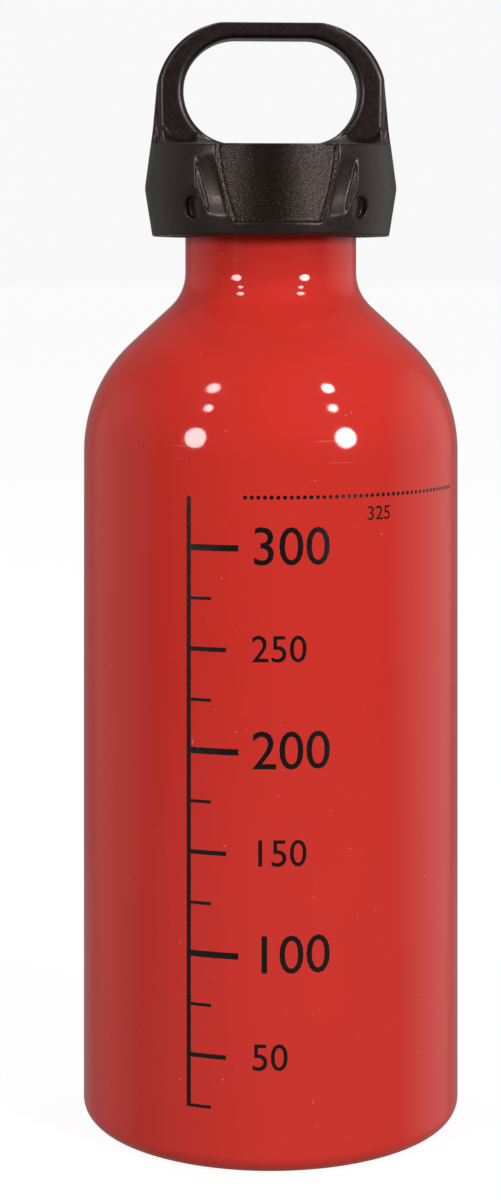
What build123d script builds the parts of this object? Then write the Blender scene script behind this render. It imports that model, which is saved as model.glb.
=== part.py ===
from build123d import *
import os
from math import cos, radians, sin, sqrt, tan

# Camping fuel bottle: an aluminium bottle closed by a push-and-turn plastic cap with a carrying loop.
# Frame: origin at the centre of the foot ring, +Z up the bottle's axis, front towards -Y.
# The loop lies along X. The cap is screwed home and its spring holds the shell up.
# All lengths are in millimetres and all angles in degrees.

os.makedirs("parts", exist_ok=True)

# Bottle
body_d = 64.4
wall_t = 0.9
wall_h = 113.6  # height where the straight wall ends
shoulder_r = 25.15
cone_angle = 47.6  # slope of the shoulder's cone, from the axis
throat_r = 7.85
neck_d = 29.5
neck_h = 12.9  # straight neck, from the throat to the lip
neck_wall_t = 2.25
base_corner_r = 3.1
base_t = 1.2
foot_w = 1.6
dish_h = 4.5
dish_slope_w = 4.5

# Straight steps that the bottle's bends are drawn in
shoulder_steps = 4
throat_steps = 3
corner_steps = 2
inner_steps = 2

# Clearances
thread_gap = 1.1  # from the neck's bore to the stem, where the thread lies
seal_gap = 0.1  # round the uncompressed seal
play = 0.1  # axial play where the plug's flange hangs on the shell's snap bead
turn_gap = 0.4  # round the flange, inside the shell
spring_gap = 0.1  # at each end of the spring
coil_gap = 1.35  # from the spring to the well's wall
boss_gap = 1.05  # from the spring to the boss inside it
dog_rest_gap = 0.4  # between the tips of the two rings of dogs at rest
dog_root_gap = 0.1  # under the dog tips when the shell is pushed down

# Seal
cord_d = 1.8
cord_sides = 6

# Plug
seat_h = 1.5  # from the lip to the flange
flange_t = 1.8
flange_w = 2.85  # beyond the neck's outside
stem_wall_t = 2.0
stem_l = 13.5  # below the lip
well_wall_t = 2.2
well_depth = 3.6
floor_t = 1.6
vent_w = 2.0
vent_h = 9.0

# Dogs on the plug and, half a pitch further round, under the shell's roof
dog_count = 12
dog_h = 1.5
dog_l = 3.8  # along the radius
dog_inset = 0.6  # inside the flange's edge
dog_angle = 12.5  # width of one dog, as an angle about the axis
dog_draft = 6.0

# Return spring
wire_d = 0.9
wire_sides = 4
coil_turns = 2.25

# Cap shell
mouth_h = 6.2  # skirt's lower edge to the snap bead
skirt_wall_t = 2.4
waist_out = 1.3  # waist beyond the skirt's lower edge
waist_h = 8.2  # above the skirt's lower edge
crown_out = 0.4  # crown beyond the skirt's lower edge
crown_chamfer = 0.5
roof_t = 1.65
bead_w = 0.7
bead_h = 1.9
boss_h = 1.4

# Carrying loop
loop_t = 7.6
loop_h = 21.65  # above the crown
loop_chamfer = 0.7
loop_kink_r = 3.0  # softens the outline where its arcs end
corner_r = 13.15
corner_cut_top = 0.15  # taken off the corner arcs by the loop's top
corner_cut_side = 0.65  # taken off them by the flats beside the legs
leg_inset = 1.6  # flats beside the legs, inside the crown's edge
leg_root = 1.8  # length of leg sunk in the crown
leg_w = 4.1  # from the flats to the slot
bar_h = 2.8  # from the slot to the loop's top
sill_h = 0.65  # from the crown to the slot
slot_chamfer = 1.1

# Flared pads down the outside of the legs
pad_setback = 1.3  # from the loop's front and back
pad_inset = 0.35  # inside the crown's edge
pad_taper = 4.6

# Grip pattern, the same on the front and the back
band_h = 2.1  # plain band under the pattern
panel_depth = 0.2  # below the skirt's lower edge, like the depths that follow
panel_top_angle = 31.0
panel_foot_angle = 22.5
flute_r = 2.4
flute_depth = 0.3
flute_head_angle = 35.0
flute_foot_angle = 29.6
flute_foot_h = 3.7  # centre of the flute's lower end, above the skirt's edge
flute_head_h = 11.7
flute_tip_l = 4.8
notch_r = 1.7
notch_depth = 0.7
notch_angle = 42.5
notch_foot_h = 3.6
notch_head_h = 4.9
notch_tip_l = 2.3

overrun = 5.0  # by which a cutter passes the faces that it opens


def ring_point(radius, angle, height):
    """Point at this angle from the front centre, counted towards +X."""
    return Vector(radius * sin(radians(angle)), -radius * cos(radians(angle)), height)


def bend(x, z, radius, first_angle, last_angle, steps):
    """Points of an arc about (x, z), spaced evenly from the first angle to the last."""
    angles = [radians(first_angle + (last_angle - first_angle) * step / steps) for step in range(steps + 1)]
    return [(x + radius * cos(angle), z + radius * sin(angle)) for angle in angles]


# Bottle's outline, worked out from the foot upwards
body_r = body_d / 2
neck_r = neck_d / 2
bore_r = neck_r - neck_wall_t
corner_x = body_r - base_corner_r
foot_in_r = corner_x - foot_w
dish_r = foot_in_r - dish_slope_w
cone = radians(cone_angle)
shoulder_x = body_r - shoulder_r
throat_x = neck_r + throat_r
cone_h = (shoulder_x + shoulder_r * cos(cone) - throat_x + throat_r * cos(cone)) / tan(cone)
neck_z = wall_h + cone_h + (shoulder_r + throat_r) * sin(cone)
lip_z = neck_z + neck_h

# Radii of what the neck carries, from the stem outwards
stem_r = bore_r - thread_gap
well_r = stem_r - well_wall_t
coil_r = well_r - coil_gap - wire_d / 2
boss_r = coil_r - wire_d / 2 - boss_gap
flange_r = neck_r + flange_w
dog_out_r = flange_r - dog_inset
dog_in_r = dog_out_r - dog_l
bead_r = flange_r - bead_w
cavity_r = flange_r + turn_gap
skirt_edge_r = cavity_r + skirt_wall_t
waist_r = skirt_edge_r + waist_out
crown_r = skirt_edge_r + crown_out

# Heights inside the cap
tip_z = lip_z - stem_l
flange_z = lip_z + seat_h
deck_z = flange_z + flange_t
well_z = deck_z - well_depth
roof_z = deck_z + 2 * dog_h + dog_rest_gap
crown_z = roof_z + roof_t
bead_z = flange_z - play
skirt_z = bead_z - bead_h - mouth_h

# Seal and seat: the chamfer in the lip clears the cord by the seal's gap
cord_r = cord_d / 2
seal_x = stem_r + seal_gap + cord_r
seal_z = flange_z - seal_gap - cord_r
seat_chamfer = sqrt(2) * (cord_r + seal_gap) - (bore_r - seal_x) - (seal_z - lip_z)

with BuildPart() as bottle:
    with BuildSketch(Plane.XZ):
        with BuildLine():
            Polyline(
                (0, dish_h),
                (dish_r, dish_h),
                (foot_in_r, 0),
                *bend(corner_x, base_corner_r, base_corner_r, -90, 0, corner_steps),
                *bend(shoulder_x, wall_h, shoulder_r, 0, cone_angle, shoulder_steps),
                *bend(throat_x, neck_z, throat_r, 180 + cone_angle, 180, throat_steps),
                (neck_r, lip_z),
                (bore_r + seat_chamfer, lip_z),
                (bore_r, lip_z - seat_chamfer),
                *bend(throat_x, neck_z, throat_r + neck_wall_t, 180, 180 + cone_angle, inner_steps),
                *bend(shoulder_x, wall_h, shoulder_r - wall_t, cone_angle, 0, inner_steps),
                (body_r - wall_t, base_corner_r),
                (corner_x, base_t),
                (foot_in_r, base_t),
                (dish_r, dish_h + base_t),
                (0, dish_h + base_t),
                close=True,
            )
        make_face()
    revolve(axis=Axis.Z)
bottle.part.label = "bottle"

with BuildPart() as o_ring:
    with BuildSketch(Plane.XZ):
        with Locations((seal_x, seal_z)):
            RegularPolygon(cord_r, cord_sides)
    revolve(axis=Axis.Z)
o_ring.part.label = "o_ring"

# One dog, drawn flat: its sides point at the axis
dog_half = radians(dog_angle) / 2
dog_outline = [
    (dog_in_r * cos(dog_half), -dog_in_r * sin(dog_half)),
    (dog_out_r * cos(dog_half), -dog_out_r * sin(dog_half)),
    (dog_out_r * cos(dog_half), dog_out_r * sin(dog_half)),
    (dog_in_r * cos(dog_half), dog_in_r * sin(dog_half)),
]

with BuildPart() as threaded_plug:
    with BuildSketch(Plane.XZ):
        with BuildLine():
            Polyline(
                (0, well_z),
                (well_r, well_z),
                (well_r, deck_z),
                (flange_r, deck_z),
                (flange_r, flange_z),
                (stem_r, flange_z),
                (stem_r, tip_z),
                (stem_r - stem_wall_t, tip_z),
                (stem_r - stem_wall_t, well_z - floor_t),
                (0, well_z - floor_t),
                close=True,
            )
        make_face()
    revolve(axis=Axis.Z)

    # Two slots up the stem let the pressure out before the thread lets go
    with BuildSketch(Plane.YZ):
        with Locations((0, tip_z + vent_h / 2)):
            Rectangle(vent_w, vent_h)
    extrude(amount=stem_r + overrun, both=True, mode=Mode.SUBTRACT)
    with BuildSketch(Plane.XY.offset(deck_z)):
        with PolarLocations(0, dog_count):
            Polygon(*dog_outline, align=None)
    extrude(amount=dog_h, taper=dog_draft)
threaded_plug.part.label = "threaded_plug"

with BuildPart() as return_spring:
    coil_z = well_z + spring_gap + wire_d / 2
    coil_h = roof_z - well_z - 2 * spring_gap - wire_d
    with BuildLine() as coil:
        Helix(coil_h / coil_turns, coil_h, coil_r, center=(0, 0, coil_z))
    with BuildSketch(coil.line ^ 0):
        RegularPolygon(wire_d / 2, wire_sides)
    sweep(path=coil.line, is_frenet=True)
return_spring.part.label = "return_spring"

# What the mould leaves out of the grip: two panels, with a slanted flute and a notch on each side
with BuildPart() as grip_cutter:
    band_z = skirt_z + band_h
    panel_top_z = crown_z + overrun
    panel_r = skirt_edge_r - panel_depth
    foot_x = panel_r * sin(radians(panel_foot_angle))
    top_x = panel_r * sin(radians(panel_top_angle))
    head_x = top_x + (top_x - foot_x) / (crown_z - band_z) * overrun
    with BuildSketch(Plane.XZ):
        with BuildLine():
            Polyline(
                (-foot_x, band_z),
                (foot_x, band_z),
                (head_x, panel_top_z),
                (-head_x, panel_top_z),
                close=True,
            )
        make_face()
    extrude(amount=waist_r + overrun, both=True)
    with BuildSketch(Plane.XY.offset(band_z)):
        Circle(panel_r)
    extrude(amount=panel_top_z - band_z, mode=Mode.SUBTRACT)
    flute_x = skirt_edge_r - flute_depth + flute_r
    notch_x = skirt_edge_r - notch_depth + notch_r
    for face_angle in (0, 180):
        for side in (-1, 1):
            flute_ends = (
                ring_point(flute_x, face_angle + side * flute_foot_angle, skirt_z + flute_foot_h),
                ring_point(flute_x, face_angle + side * flute_head_angle, skirt_z + flute_head_h),
            )
            notch_ends = (
                ring_point(notch_x, face_angle + side * notch_angle, skirt_z + notch_foot_h),
                ring_point(notch_x, face_angle + side * notch_angle, skirt_z + notch_head_h),
            )
            for (foot, head), cutter_r, tip_l in (
                (flute_ends, flute_r, flute_tip_l),
                (notch_ends, notch_r, notch_tip_l),
            ):
                with BuildSketch(Plane(origin=foot, z_dir=head - foot)):
                    Circle(cutter_r)
                extrude(amount=(head - foot).length)
                with Locations(Plane(origin=foot, z_dir=foot - head), Plane(origin=head, z_dir=head - foot)):
                    Cone(cutter_r, 0, tip_l, align=(Align.CENTER, Align.CENTER, Align.MIN))

# Loop's outline, worked out from its top and from the crown's edge
root_z = crown_z - leg_root
loop_top_z = crown_z + loop_h
corner_z = loop_top_z + corner_cut_top - corner_r
leg_x = crown_r - leg_inset
corner_side_x = leg_x + corner_cut_side
loop_corner_x = corner_side_x - corner_r
corner_top_x = loop_corner_x + sqrt(corner_r**2 - (loop_top_z - corner_z) ** 2)
leg_top_z = corner_z + sqrt(corner_r**2 - (leg_x - loop_corner_x) ** 2)
slot_r = (loop_h - bar_h - sill_h) / 2
slot_span = 2 * (leg_x - leg_w - slot_r)


def extrude_loop(side_x, side_z, foot_x, thickness):
    """Plate with the loop's top and corners, and sides from (side_x, side_z) to foot_x in the crown."""
    with BuildSketch(Plane.XZ) as outline:
        with BuildLine():
            corner_mid = (loop_corner_x + corner_r / sqrt(2), corner_z + corner_r / sqrt(2))
            top = Line((0, loop_top_z), (corner_top_x, loop_top_z))
            corner = ThreePointArc(top @ 1, corner_mid, (side_x, side_z))
            Polyline(corner @ 1, (foot_x, root_z), (0, root_z))
            mirror(about=Plane.YZ)
        make_face()
    extrude(outline.sketch, amount=thickness / 2, both=True)


# The pads are a thinner loop, turned to the cap's own round, without its middle
with BuildPart() as leg_pads:
    extrude_loop(corner_side_x, corner_z, corner_side_x + overrun, loop_t - 2 * pad_setback)
    with BuildSketch(Plane.XZ):
        with BuildLine():
            pad_r = crown_r - pad_inset
            flare = tan(radians(pad_taper))
            Polyline(
                (0, root_z),
                (pad_r + flare * leg_root, root_z),
                (pad_r - flare * (loop_h + overrun), loop_top_z + overrun),
                (0, loop_top_z + overrun),
                close=True,
            )
        make_face()
    revolve(axis=Axis.Z, mode=Mode.INTERSECT)
    with BuildSketch(Plane.XZ):
        with Locations((0, crown_z)):
            Rectangle(2 * (leg_x - loop_chamfer), 2 * (loop_h + overrun))
    extrude(amount=loop_t, both=True, mode=Mode.SUBTRACT)

with BuildPart() as cap_shell:
    extrude_loop(leg_x, leg_top_z, leg_x, loop_t)
    kinks = cap_shell.edges().filter_by(Axis.Y)
    fillet(kinks.filter_by_position(Axis.Z, crown_z, loop_top_z), loop_kink_r)
    with BuildSketch(Plane.XZ):
        with Locations((0, crown_z + sill_h + slot_r)):
            SlotCenterToCenter(slot_span, 2 * slot_r)
    extrude(amount=loop_t, both=True, mode=Mode.SUBTRACT)
    flats = cap_shell.faces().filter_by(Plane.XZ)
    slot_edges = [edge for face in flats for wire in face.inner_wires() for edge in wire.edges()]
    chamfer(slot_edges, slot_chamfer)
    flats = cap_shell.faces().filter_by(Plane.XZ)
    rims = ShapeList([edge for face in flats for edge in face.outer_wire().edges()])
    chamfer(rims.filter_by(lambda edge: edge.center().Z > crown_z), loop_chamfer)
    add(leg_pads.part)

    # Body: two cones that meet at the waist
    with BuildSketch(Plane.XZ):
        with BuildLine():
            Polyline(
                (0, skirt_z),
                (skirt_edge_r, skirt_z),
                (waist_r, skirt_z + waist_h),
                (crown_r, crown_z - crown_chamfer),
                (crown_r - crown_chamfer, crown_z),
                (0, crown_z),
                close=True,
            )
        make_face()
    revolve(axis=Axis.Z)
    add(grip_cutter.part, mode=Mode.SUBTRACT)

    # Inside: mouth, snap bead that the plug's flange hangs on, and the chamber under the roof
    with BuildSketch(Plane.XZ):
        with BuildLine():
            Polyline(
                (0, skirt_z - overrun),
                (cavity_r, skirt_z - overrun),
                (cavity_r, bead_z - bead_h),
                (bead_r, bead_z),
                (cavity_r, bead_z),
                (cavity_r, roof_z),
                (0, roof_z),
                close=True,
            )
        make_face()
    revolve(axis=Axis.Z, mode=Mode.SUBTRACT)
    with BuildSketch(Plane((0, 0, roof_z), z_dir=(0, 0, -1))):
        with PolarLocations(0, dog_count, start_angle=180 / dog_count):
            Polygon(*dog_outline, align=None)
    extrude(amount=dog_h, taper=dog_draft)
    with BuildSketch(Plane((0, 0, roof_z), z_dir=(0, 0, -1))):
        Circle(boss_r)
    extrude(amount=boss_h)
cap_shell.part.label = "cap_shell"

for piece in (bottle, o_ring, threaded_plug, return_spring, cap_shell):
    export_step(piece.part, f"parts/{piece.part.label}.step")
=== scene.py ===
"""Camping fuel bottle: the visual model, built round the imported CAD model.

Shapes are drawn in millimetres in the CAD model's frame and brought to metres as they become pieces.
Angles round the axis are counted from the front, -Y, towards +X.
"""

from math import acos, asin, atan2, cbrt, cos, exp, hypot, pi, radians, sin, sqrt, tan

import bmesh
import bpy
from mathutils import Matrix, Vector


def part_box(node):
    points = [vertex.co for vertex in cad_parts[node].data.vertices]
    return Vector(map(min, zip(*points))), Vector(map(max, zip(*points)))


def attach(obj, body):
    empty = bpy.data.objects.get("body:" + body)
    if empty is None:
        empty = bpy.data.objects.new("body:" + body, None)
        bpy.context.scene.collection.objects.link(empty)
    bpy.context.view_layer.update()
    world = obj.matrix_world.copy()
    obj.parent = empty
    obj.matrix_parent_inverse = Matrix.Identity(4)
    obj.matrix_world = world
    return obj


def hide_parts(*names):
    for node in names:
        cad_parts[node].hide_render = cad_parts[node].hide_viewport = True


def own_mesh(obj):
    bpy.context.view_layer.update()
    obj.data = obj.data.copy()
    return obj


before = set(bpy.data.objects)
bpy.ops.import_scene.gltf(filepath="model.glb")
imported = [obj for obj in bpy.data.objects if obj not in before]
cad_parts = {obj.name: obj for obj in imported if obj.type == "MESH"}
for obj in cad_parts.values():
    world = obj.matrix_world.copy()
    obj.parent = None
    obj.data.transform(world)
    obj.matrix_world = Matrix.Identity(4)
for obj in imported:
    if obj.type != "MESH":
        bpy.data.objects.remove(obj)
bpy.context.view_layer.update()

MM = 0.001
TINY = 1e-6
WELD = 1e-4


def frame_size(node, corner, axis):
    """A coordinate of the node's lowest (0) or highest (1) corner, in mm."""
    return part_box(node)[corner][axis] / MM


# Sizes read from the frame
BODY_R = frame_size("bottle", 1, 1)
LIP_Z = frame_size("bottle", 1, 2)
TIP_Z = frame_size("threaded_plug", 0, 2)
DOG_TOP_Z = frame_size("threaded_plug", 1, 2)
FLANGE_R = frame_size("threaded_plug", 1, 0)
SKIRT_Z = frame_size("cap_shell", 0, 2)
LOOP_TOP_Z = frame_size("cap_shell", 1, 2)
WAIST_R = frame_size("cap_shell", 1, 0)
SPRING_FOOT_Z = frame_size("return_spring", 0, 2)
SPRING_TOP_Z = frame_size("return_spring", 1, 2)

# Fineness of the meshes
FINE_ARC = radians(2.5)
COARSE_ARC = radians(4)
LATHE_STEPS = 192
THREAD_MESH = 0.2
VOXEL = 0.2
SMOOTHING = 0.5
PLUG_PASSES = 2  # of smoothing
CAP_PASSES = 3

# Bottle
WALL_T = 0.9
WALL_H = 113.6
SHOULDER_R = 25.15
SHOULDER_SLACK = 0.5  # taken off the shoulder's radius inside
CONE = radians(47.6)
THROAT_R = 7.85
NECK_R = 14.75
NECK_H = 12.9
NECK_WALL_T = 2.25
BORE_R = NECK_R - NECK_WALL_T
BASE_CORNER_R = 3.1
BASE_T = 1.2
FOOT_W = 1.6
DISH_H = 4.5
DISH_SLOPE_W = 4.5
DISH_ROUND_R = (4.0, 3.0)  # outside and inside
FOOT_ROUND_R = (0.6, 0.5)
LIP_ROUND_R = 0.6
SEAT_CHAMFER = 0.51
SEAT_Z = LIP_Z - SEAT_CHAMFER
NECK_Z = LIP_Z - NECK_H

# Screw thread
PITCH = 3.0
RIDGE_H = 0.9
RIDGE_FOOT_W = 1.7
RIDGE_CREST_W = 0.7

# Plug
STEM_R = 11.4
STEM_BORE_R = 9.4
STEM_RELIEF_H = 0.5  # below the flange, where the thread's fine mesh starts
STEM_THREAD_TOP_Z = LIP_Z - 1.0
TIP_CHAMFER = 0.8
TIP_ROUND_R = 0.2
WELL_R = 9.2
WELL_ROUND_R = 0.5
FLANGE_T = 1.8
FLANGE_Z = LIP_Z + 1.5
FLANGE_ROUND_R = 0.4
PLUG_ROUND_R = 0.3
DECK_Z = FLANGE_Z + FLANGE_T
WELL_Z = DECK_Z - 3.6
STEM_FLOOR_Z = WELL_Z - 1.6
STEM_FLOOR_ROUND_R = 0.8
VENT_W = 2.0
VENT_H = 9.0
VENT_OVER_H = 1.0  # by which the cutting box is longer than the vent
VENT_OVER_W = 4.0

# Dogs
DOG_COUNT = 12
DOG_IN_R = 13.2
DOG_OUT_R = 17.0
DOG_HALF = radians(6.25)
DOG_H = 1.5
DOG_DRAFT = 0.16
DOG_SINK = 0.3  # how deep its foot stands in the moulding
ROOF_Z = DOG_TOP_Z + 1.9

# Seal and spring
CORD_R = 0.9
CORD_SIDES = 24
SEAL_FIT = 0.1
SEAL_R = STEM_R + SEAL_FIT + CORD_R
SEAL_Z = FLANGE_Z - SEAL_FIT - CORD_R
SEAL_STEPS = 144
WIRE_R = 0.45
WIRE_SIDES = 14
COIL_R = 7.4
COIL_TURNS = 4.5
COIL_STEPS = 48  # a turn
CLOSED_TURNS = 0.9

# Cap shell
CROWN_Z = ROOF_Z + 1.65
EDGE_R = 20.4
CROWN_R = 20.8
WAIST_Z = SKIRT_Z + 8.2
WAIST_ROUND_R = 4.0
CROWN_ROUND_R = 0.4
CROWN_RISE = 1.15  # of the rim at the legs, above its front
SKIRT_ROUND_R = 0.35
CAVITY_R = 18.0
OUTER_SIDE_R = CAVITY_R + 1  # what lies further out is the outer side
MOUTH_CHAMFER = 0.5
BEAD_R = 16.9
BEAD_Z = FLANGE_Z - 0.1
BEAD_H = 1.9
BOSS_R = 5.9
BOSS_H = 1.4
CAP_STEPS = 576
CAP_MESH = 0.22
CROWN_MESH = 1.0

# Carrying loop
LOOP_T = 7.6
LEG_X = 19.2
LEG_SPREAD = 0.25  # wider where the corners start
CORNER_R = 13.15
CORNER_X = 6.7
CORNER_Z = LOOP_TOP_Z - 13.0
ROOT_Z = CROWN_Z - 1.0
SLOT_R = 9.1
SLOT_HALF_SPAN = 6.0
SLOT_Z = CROWN_Z + 0.65 + SLOT_R
SLOT_ROUND_R = 1.2
LOOP_ROUND_R = 1.1
LOOP_REACH = 3 * SLOT_R  # further than any part of the loop is from the slot's centre line
HALVINGS = 24
ARC_STATIONS = 64
BAR_STATIONS = 12
ROUND_POINTS = 7

# Pads down the outside of the loop's legs
PAD_HALF_T = 2.5
PAD_R = 20.63
PAD_FLARE = 0.0887
PAD_ROUND_R = 0.5
PAD_DEPTH = 2.0
PAD_ROWS = 40
PAD_COLUMNS = 16
UNDER_SKIN = 0.02  # how far a face that ends in another one dips below it

# Foot of each leg: a round hollow in its face, with a web on either side
BOWL_X = 15.4
BOWL_R = 3.4
OUTER_WEB_X = 18.6
OUTER_WEB_H = 3.4
OUTER_WEB_POWER = 1.5
INNER_WEB = 0.65  # share of the height below the slot
INNER_WEB_GAP = 0.8
INNER_WEB_RUN = 2.0
WEB_POWER = 1.4
FILLET_ROWS = 30
FILLET_ROW_POWER = 1.3  # rows stand closer near the crown
FILLET_COLUMNS = 40
FILLET_ROOT = 0.1  # how far its fine rows start below the crown
FILLET_OVER = 0.5  # by which they are higher than the outer web
PANEL_INSET = 0.1  # of the fillet's rim, above the panel and beside it
CONE_INSET = 0.05
INSET_BLEND_W = 1.5

# Grip pattern, the same on both sides of the middle and on the front and the back
BAND_Z = SKIRT_Z + 2.1
GRIP_R = 21.2
PANEL_R = 20.2
PANEL_TOP_X = 10.4
PANEL_CURVE = 0.037
PANEL_POWER = 1.68
GRAIN_MARGIN = 0.2
GRAIN_TOP_MARGIN = 0.3
PAD_GRAIN_FROM = 0.1
EDGE_SOFT = 0.3
CUT_SOFT = 0.2
CUT_WALL_H = 2.0  # more than any cut is deep
CUT_LIMIT = 1.2  # no cut reaches further, as a share of its width or radius
FLUTE_W = (4.1, 4.6)  # at the skirt and at the crown
FLUTE_FLOOR_R = 20.2
FLUTE_RISE = 0.18  # of its floor, from this share of its width to the outer wall
FLUTE_RISE_FROM = 0.3
FLUTE_CREST = 0.6
FLUTE_CREST_W = 0.32
FLUTE_WALL_W = 0.13  # of its width
FLUTE_END_RISE = 1.05
FLUTE_ENDS = (SKIRT_Z + 2.4, SKIRT_Z + 14.1)
FLUTE_RUNS = (4.5, 8.0)  # how far its floor slopes up to each end
NOTCH_R = 2.0
NOTCH_PLACE = (GRIP_R * radians(41.0), SKIRT_Z + 4.6)
NOTCH_D = 1.3
NOTCH_LIP = 0.2  # where its floor runs out, above the surface
NOTCH_WALL_FROM = 0.9  # of its radius
NOTCH_WALL_W = 0.1

# Printed scale
PRINT_R = BODY_R - 0.004
COAT_R = BODY_R - 0.03
PRINT_FOOT_R = COAT_R - 0.05
PRINT_MESH = 0.7
PRINT_HALVINGS = 8
SCALE_ANGLE = radians(-27)
SPINE_W = 0.7
# Marks at each 100, 50 and 25: length, thickness, height of the figures
SCALE_MARKS = ((8.0, 1.0, 6.0), (6.0, 0.7, 4.2), (3.5, 0.5, 0))
MARK_ML = 25
FIGURES_X = 10.0
FIGURE_SHARE = 0.69  # height of the font's figures, as a share of its size
FIGURE_FINENESS = 4  # segments of each curve
FILL_Z = 108.2
FILL_ML = 325
ML_PER_MM = pi * (BODY_R - WALL_T) ** 2 / 1000
DOT_R = 0.33
DOT_SIDES = 12
DOT_PITCH = 1.065
DOT_COUNT = 41
FIRST_DOT_ANGLE = radians(-10.8)
FILL_TEXT_ANGLE = radians(29.5)
FILL_TEXT_H = 2.2
FILL_TEXT_DROP = 3.0

# Colours, from dark to light
LACQUER = ((0.67, 0.034, 0.024), (0.71, 0.038, 0.027))
# Pale streak colour: partly scuffs, partly a painted reflection of the room
SCUFF_AND_SHEEN = (0.75, 0.25, 0.22)
DUST = (0.78, 0.40, 0.36)
ALUMINIUM = ((0.62, 0.62, 0.63), (0.80, 0.80, 0.81))
STEEL = ((0.45, 0.45, 0.46), (0.62, 0.62, 0.63))
RUBBER = ((0.010, 0.010, 0.010), (0.018, 0.018, 0.018))
PLUG_BLACK = ((0.020, 0.020, 0.020), (0.028, 0.028, 0.028))
CAP_BLACK = ((0.009, 0.0050, 0.004), (0.013, 0.0075, 0.006))
INK = ((0.004, 0.003, 0.003), (0.009, 0.006, 0.006))
FLOOR_GREY = ((0.10, 0.10, 0.10), (0.11, 0.11, 0.11))
# Tint of the reflections
PLUG_TINT = (1, 1, 1)
CAP_TINT = (1.0, 0.80, 0.78)
PANEL_TINT = (0.7, 0.54, 0.50)
# Scales of a noise along x, y and z, for marks that run round the axis or along it
ROUND_THE_AXIS = (0.12, 0.12, 3.0)
LINES_ROUND_THE_AXIS = (0.2, 0.2, 6.0)
ALONG_THE_AXIS = (1.0, 1.0, 0.12)

# Camera, fitted to the photograph's outline; distance and height in metres
IMAGE_W, IMAGE_H = 501, 1200
CAMERA_AZIMUTH = radians(-3.5)
CAMERA_DISTANCE = 0.418
CAMERA_HEIGHT = 0.1435
SENSOR_W = 36.0
PIXELS_PER_MM = 5.7959  # at the axis
AXIS_COLUMN, HORIZON_ROW = 270.7, 276.0

# Studio, in metres; the lamps stand in pairs, with azimuth, elevation and width in degrees
FLOOR_R = 30.0
FLOOR_SIDES = 96
FLOOR_GLOW = 0.93
LAMP_DISTANCE = 1.6
LAMP_RADIANCE = 24.0
LAMP_SIDES = ((-1, 1.0), (1, 1.6))  # side, gain of the front lamps
FRONT_LAMPS = (
    ("low_lamp", 46.5, 12.5, 13.5),
    ("middle_lamp", 43.5, 34.0, 5.5),
    ("high_lamp", 48.5, 48.5, 7.0),
)
BACK_LAMP = ("back_lamp", 145.0, 60.0, 8.0)

# Room round the object; each span is of the direction's component along an axis
ROOM_LIGHT = (0.05, 0.20)  # in front of the object, and behind it
ROOM_SPAN = (0.1, 0.6)
GROUND_LIGHT = 0.25
GROUND_SPAN = (-0.10, -0.28)
SIDE_LIGHTS = ((-112, 0.45), (110, 0.72))  # azimuth in degrees, radiance
SIDE_SPAN = (0.72, 1.0)
BACKDROP = 0.94
BACKDROP_SHEEN = 0.74 * BACKDROP  # as the object reflects it
BACKDROP_SPAN = (0.975, 0.995)


# Shape tools


def round_angles(count):
    return [2 * pi * k / count for k in range(count)]


def rounded(corners, step=COARSE_ARC):
    """Outline through (r, z, radius) corners, each drawn as an arc of that radius."""
    points = []
    for index, (r, z, radius) in enumerate(corners):
        here = Vector((r, z))
        if radius < TINY or index in (0, len(corners) - 1):
            points.append((r, z))
            continue
        back = (Vector(corners[index - 1][:2]) - here).normalized()
        ahead = (Vector(corners[index + 1][:2]) - here).normalized()
        half = acos(max(-1.0, min(1.0, back.dot(ahead)))) / 2
        centre = here + (back + ahead).normalized() * radius / sin(half)
        first = here + back * radius / tan(half) - centre
        last = here + ahead * radius / tan(half) - centre
        turn = atan2(first.x * last.y - first.y * last.x, first.dot(last))
        count = max(2, round(abs(turn) / step))
        start = atan2(first.y, first.x)
        for k in range(count + 1):
            angle = start + turn * k / count
            points.append((centre.x + radius * cos(angle), centre.y + radius * sin(angle)))
    return points


def straight(first, last, step):
    """Points from first up to, but not including, last, about step apart."""
    count = max(1, round(hypot(last[0] - first[0], last[1] - first[1]) / step))
    return [tuple(a + (b - a) * k / count for a, b in zip(first, last)) for k in range(count)]


def on_axis(angle, r, z):
    return Vector((r * sin(angle), -r * cos(angle), z))


def lathe(points, steps, shape=None, closed=False, slots=None):
    """Surface of revolution through (r, z) points; shape(angle, r, z) gives the radius at each vertex."""
    bm = bmesh.new()
    rings = []
    for r, z in points:
        angles = round_angles(steps) if r > TINY else [0.0]
        rings.append([bm.verts.new(on_axis(a, shape(a, r, z) if shape else r, z)) for a in angles])
    pairs = list(zip(rings, rings[1:])) + ([(rings[-1], rings[0])] if closed else [])
    for band, (low, high) in enumerate(pairs):
        for k in range(steps):
            places = ((low, k), (low, k + 1), (high, k + 1), (high, k))
            corners = [ring[index % len(ring)] for ring, index in places]
            face = bm.faces.new(list(dict.fromkeys(corners)))
            if slots:
                face.material_index = slots[band]
    return bm


def join_rings(bm, rings, closed=False):
    """Faces between equal rings of vertices; the end rings are capped, or joined where closed."""
    count = len(rings[0])
    following = rings[1:] + rings[:1] if closed else rings[1:]
    for low, high in zip(rings, following):
        for k in range(count):
            bm.faces.new((low[k], low[(k + 1) % count], high[(k + 1) % count], high[k]))
    if not closed:
        bm.faces.new(rings[0][::-1])
        bm.faces.new(rings[-1])


def add_tube(bm, centres, radius, sides):
    """Round tube along the centres, with flat ends."""
    rings = []
    for k, centre in enumerate(centres):
        along = (centres[min(k + 1, len(centres) - 1)] - centres[max(k - 1, 0)]).normalized()
        out = Vector((centre.x, centre.y, 0)).normalized()
        up = along.cross(out).normalized()
        out = up.cross(along)
        ring = [centre + (out * cos(a) + up * sin(a)) * radius for a in round_angles(sides)]
        rings.append([bm.verts.new(point) for point in ring])
    join_rings(bm, rings)


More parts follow.
